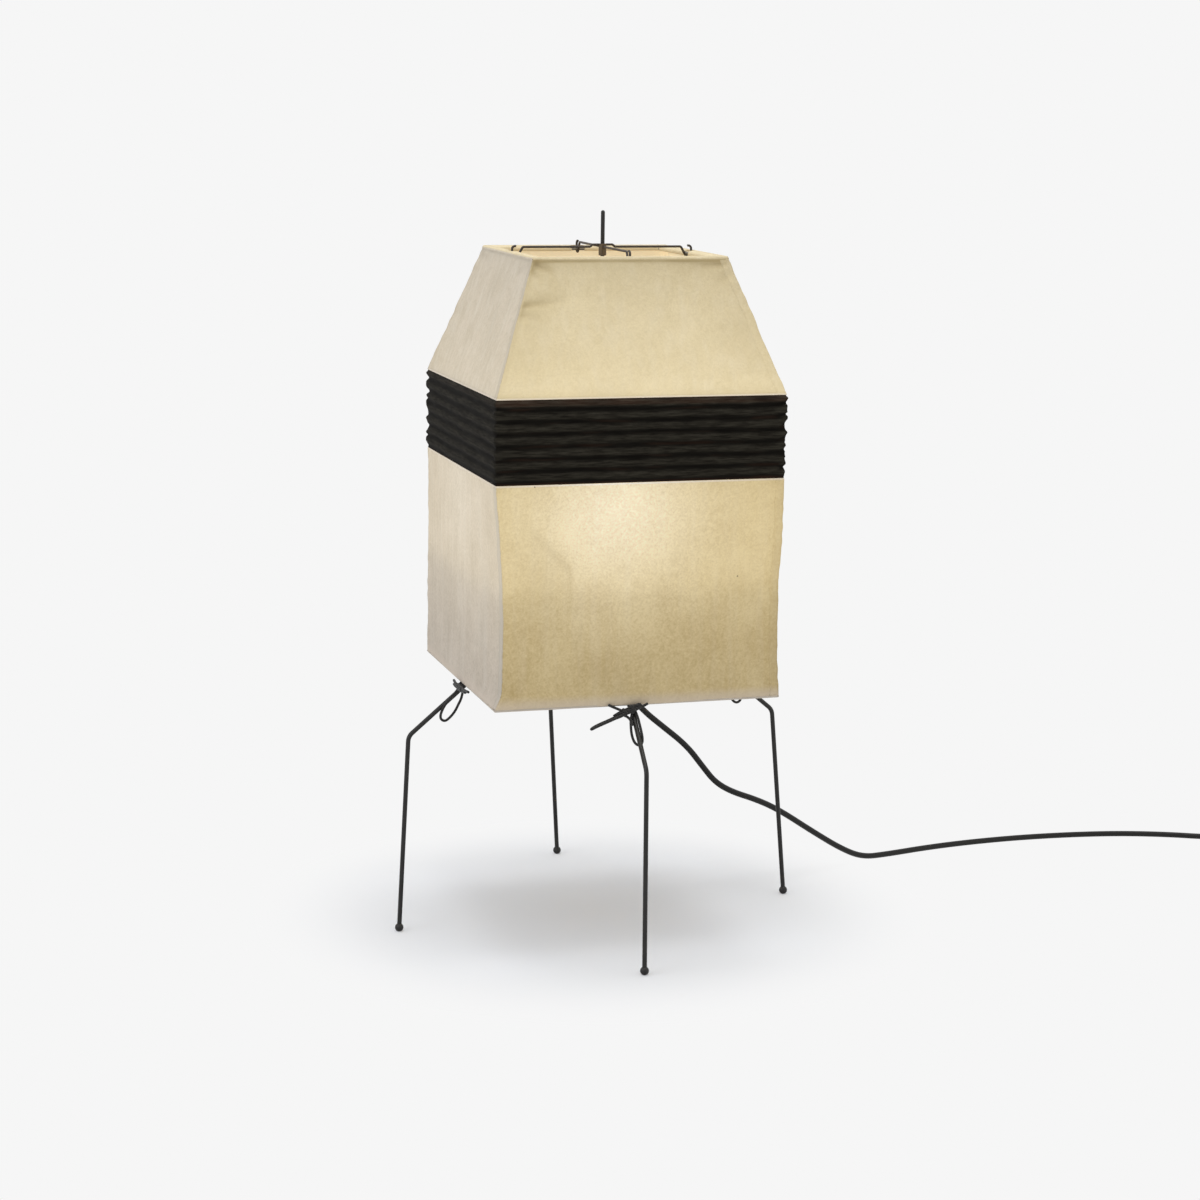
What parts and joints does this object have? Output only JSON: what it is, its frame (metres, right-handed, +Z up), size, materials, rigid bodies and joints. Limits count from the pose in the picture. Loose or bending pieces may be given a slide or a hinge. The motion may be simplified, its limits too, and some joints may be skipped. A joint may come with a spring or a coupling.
{
  "type": "paper table lamp",
  "caption": "Square paper table lamp: tapering upper shade, black pleated band and lower shade, tied onto bent wire legs with ball feet, with a flex leaving below.",
  "frame": {"origin": "on the floor, midway between the four feet", "axes": "+Z up along the post, -Y towards the front side of the shade, +X towards the right side"},
  "size_m": [1.0071, 0.3695, 0.623],
  "materials": {
    "white_washi": "matte",
    "hem_paper": "matte",
    "black_pleated_paper": "satin",
    "rim_steel": "painted white",
    "black_wire": "satin",
    "black_ball": "matte",
    "hub_metal": "satin",
    "zinc_steel": "plated",
    "black_string": "twisted",
    "black_flex": "satin",
    "strap_fabric": "woven",
    "black_bakelite": "moulded",
    "white_ceramic": "matte",
    "brass_contact": "bright",
    "bulb_aluminium": "bright",
    "bulb_glass": "clear",
    "filament_metal": "glowing",
    "black_plastic": "moulded",
    "rocker_plastic": "moulded"
  },
  "bodies": {
    "stand": {"lower_panel_front": "white_washi", "lower_panel_right": "white_washi", "lower_panel_back": "white_washi", "lower_panel_left": "white_washi", "bottom_hem": "hem_paper", "pleated_band": "black_pleated_paper", "bottom_rim_wire": "rim_steel", "lower_hoop": "rim_steel", "leg_front": "black_wire", "leg_right": "black_wire", "leg_back": "black_wire", "leg_left": "black_wire", "post": "black_wire", "post_socket": "black_wire", "foot_front": "black_ball", "foot_right": "black_ball", "foot_back": "black_ball", "foot_left": "black_ball", "hub": "hub_metal", "hub_plate": "hub_metal", "leg_screws": "zinc_steel", "nipple": "zinc_steel", "tie_front": "black_string", "tie_right": "black_string", "tie_back": "black_string", "tie_left": "black_string", "flex_run": "black_flex", "flex_coil": "black_flex", "coil_tie": "strap_fabric", "holder_base": "black_bakelite", "holder_shell": "black_bakelite", "flex_outlet": "black_bakelite", "holder_insulator": "white_ceramic", "holder_sleeve": "brass_contact", "holder_contact": "brass_contact", "plug_pins": "brass_contact", "switch_base": "black_plastic", "switch_cover": "black_plastic", "plug_body": "black_plastic"},
    "upper_shade": {"collar": "black_wire", "collar_screw": "zinc_steel", "top_rim_wire": "rim_steel", "top_hem": "hem_paper", "upper_hoop": "rim_steel", "arm_front": "black_wire", "arm_right": "black_wire", "arm_back": "black_wire", "arm_left": "black_wire", "upper_panel_front": "white_washi", "upper_panel_right": "white_washi", "upper_panel_back": "white_washi", "upper_panel_left": "white_washi"},
    "bulb": {"bulb_cap": "bulb_aluminium", "bulb_tip": "bulb_aluminium", "bulb_glass": "bulb_glass", "bulb_stem": "bulb_glass", "bulb_filament": "filament_metal"},
    "rocker": {"switch_rocker": "rocker_plastic"}
  },
  "joints": [
    {"name": "shade_collapse", "type": "slide", "parent": "stand", "child": "upper_shade", "axis": [0, 0, -1], "range_m": [0, 0.045], "deforming": ["pleated_band"]},
    {"name": "bulb_turn", "type": "hinge", "parent": "stand", "child": "bulb", "pos_m": [0, 0, 0.295], "axis": [0, 0, 1], "continuous": true},
    {"name": "rocker_tilt", "type": "hinge", "parent": "stand", "child": "rocker", "pos_m": [0.72881, 0.03005, 0.0115], "axis": [0.5, 0.866, 0], "range_deg": [0, 16]}
  ]
}
